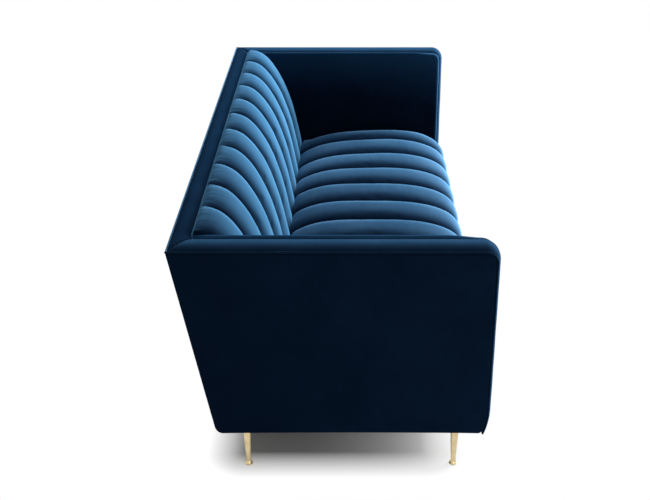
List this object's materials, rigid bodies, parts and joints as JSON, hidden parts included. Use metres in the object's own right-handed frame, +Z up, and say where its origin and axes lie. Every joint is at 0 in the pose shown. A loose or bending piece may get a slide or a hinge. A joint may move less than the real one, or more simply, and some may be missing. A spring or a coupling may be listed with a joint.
{
  "type": "sofa",
  "caption": "Long low sofa with straight arms as high as its back, a tight channelled seat and back in navy velvet, and slim tapered brass legs with flared feet.",
  "frame": {"origin": "on the floor, below the middle of the sofa's bounding box", "axes": "+X along the length towards the right end as seen from the front, +Y towards the back, +Z up"},
  "size_m": [2.13, 0.928, 0.7838],
  "materials": {
    "velvet": "matte",
    "welt": "matte",
    "frame_wood": "matte",
    "foam": "matte",
    "felt": "matte",
    "webbing": "matte",
    "dust_cloth": "matte",
    "spring_steel": "satin",
    "plate_steel": "satin",
    "leg_brass": "satin",
    "glide": "matte"
  },
  "bodies": {
    "root": {"seat_cover": "velvet", "back_cover": "velvet", "back_band": "velvet", "outside_back": "velvet", "front_cover": "velvet", "arm_pad_left": "velvet", "arm_pad_right": "velvet", "arm_band_left": "velvet", "arm_band_right": "velvet", "outside_arm_left": "velvet", "outside_arm_right": "velvet", "arm_welt_outer_left": "welt", "arm_welt_outer_right": "welt", "arm_welt_inner_left": "welt", "arm_welt_inner_right": "welt", "back_welt_front": "welt", "back_welt_rear": "welt", "front_rail": "frame_wood", "back_rail": "frame_wood", "back_top_rail": "frame_wood", "corner_blocks": "frame_wood", "end_rail_left": "frame_wood", "end_rail_right": "frame_wood", "rear_post_left": "frame_wood", "rear_post_right": "frame_wood", "arm_post_left": "frame_wood", "arm_post_right": "frame_wood", "arm_top_rail_left": "frame_wood", "arm_top_rail_right": "frame_wood", "arm_tack_rail_left": "frame_wood", "arm_tack_rail_right": "frame_wood", "cross_rail_left": "frame_wood", "cross_rail_middle": "frame_wood", "cross_rail_right": "frame_wood", "back_upright_left": "frame_wood", "back_upright_middle": "frame_wood", "back_upright_right": "frame_wood", "seat_foam": "foam", "back_foam": "foam", "seat_deck": "felt", "back_webbing": "webbing", "dust_cover": "dust_cloth", "seat_springs": "spring_steel", "spring_clips_front": "spring_steel", "spring_clips_rear": "spring_steel", "leg_plates": "plate_steel", "plate_screws": "plate_steel", "leg_bolts": "plate_steel", "leg_front_left": "leg_brass", "leg_front_right": "leg_brass", "leg_rear_left": "leg_brass", "leg_rear_right": "leg_brass", "floor_glides": "glide"}
  },
  "joints": []
}
